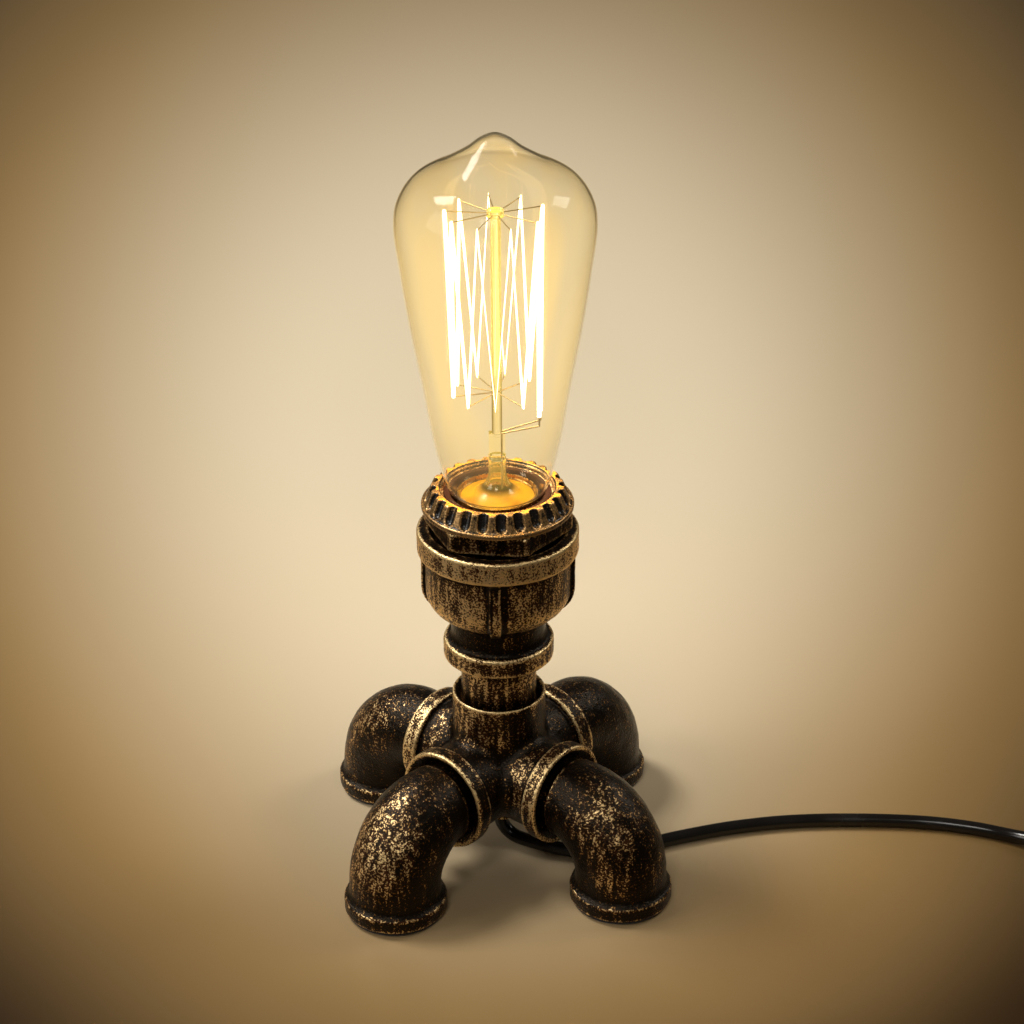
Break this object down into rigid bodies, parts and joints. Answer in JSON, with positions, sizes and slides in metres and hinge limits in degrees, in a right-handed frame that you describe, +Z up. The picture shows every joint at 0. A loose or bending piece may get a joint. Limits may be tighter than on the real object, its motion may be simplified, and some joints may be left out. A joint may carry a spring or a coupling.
{
  "type": "table lamp",
  "caption": "Table lamp built from threaded pipe fittings: elbow legs, a cross, a riser and a bell reducer that holds a teardrop filament bulb; cord with a switch and plug.",
  "frame": {"origin": "on the table under the lamp's upright axis", "axes": "+Z up the lamp's axis, +X along the front right leg, +Y along the rear right leg"},
  "size_m": [0.3894, 0.1919, 0.2613],
  "materials": {
    "dark_bronze_paint": "satin, with worn gold highlights",
    "black_felt": "matt",
    "white_ceramic": "glazed",
    "socket_brass": "satin",
    "zinc_steel": "satin",
    "amber_glass": "polished",
    "clear_glass": "polished",
    "cap_brass": "satin",
    "black_vitrite": "gloss",
    "solder": "satin",
    "glowing_carbon": "glowing",
    "nickel_wire": "satin",
    "black_pvc": "gloss",
    "black_plastic": "satin",
    "rocker_plastic": "gloss",
    "brown_core": "satin",
    "blue_core": "satin"
  },
  "bodies": {
    "lamp": {"elbow_front_right": "dark_bronze_paint", "elbow_rear_right": "dark_bronze_paint", "elbow_rear_left": "dark_bronze_paint", "elbow_front_left": "dark_bronze_paint", "cross_fitting": "dark_bronze_paint", "riser_nipple": "dark_bronze_paint", "reducer_coupling": "dark_bronze_paint", "socket_housing": "dark_bronze_paint", "foot_pad_front_right": "black_felt", "foot_pad_rear_right": "black_felt", "foot_pad_rear_left": "black_felt", "foot_pad_front_left": "black_felt", "socket_insulator": "white_ceramic", "socket_sleeve": "white_ceramic", "socket_screw_shell": "socket_brass", "socket_centre_contact": "socket_brass", "socket_terminals": "socket_brass", "plug_pins": "socket_brass", "switch_contacts": "socket_brass", "terminal_screws": "zinc_steel", "insulator_screws": "zinc_steel", "switch_housing_screws": "zinc_steel", "cord_lamp_to_switch": "black_pvc", "cord_switch_to_coil": "black_pvc", "cord_coil": "black_pvc", "cord_coil_to_plug": "black_pvc", "inner_cord": "black_pvc", "switch_relief_lamp_side": "black_pvc", "switch_relief_plug_side": "black_pvc", "plug_relief": "black_pvc", "plug_body": "black_pvc", "plug_pin_sleeves": "black_pvc", "cord_grip_bushing": "black_plastic", "cord_grip_locknut": "black_plastic", "switch_lower_housing": "black_plastic", "switch_upper_housing": "black_plastic", "wire_live": "brown_core", "switch_live_cores": "brown_core", "wire_neutral": "blue_core", "switch_neutral_core": "blue_core"},
    "shade_ring": {"shade_ring": "dark_bronze_paint"},
    "bulb": {"bulb_glass": "amber_glass", "bulb_cap": "cap_brass", "bulb_cap_insulator": "black_vitrite", "bulb_cap_contact": "solder", "bulb_stem": "clear_glass", "bulb_filament": "glowing_carbon", "bulb_filament_hooks": "nickel_wire", "bulb_lead_wires": "nickel_wire"},
    "rocker": {"switch_rocker": "rocker_plastic", "switch_blade": "socket_brass"}
  },
  "joints": [
    {"name": "bulb_lift", "type": "slide", "parent": "lamp", "child": "bulb", "axis": [0, 0, 1], "range_m": [0, 0.034]},
    {"name": "shade_ring_turn", "type": "hinge", "parent": "lamp", "child": "shade_ring", "pos_m": [0, 0, 0.136], "axis": [0, 0, 1], "range_deg": [0, 360]},
    {"name": "switch_rocker_tilt", "type": "hinge", "parent": "lamp", "child": "rocker", "pos_m": [0.2033, 0.1056, 0.0134], "axis": [0.1736, 0.9848, 0], "range_deg": [0, 16]}
  ]
}
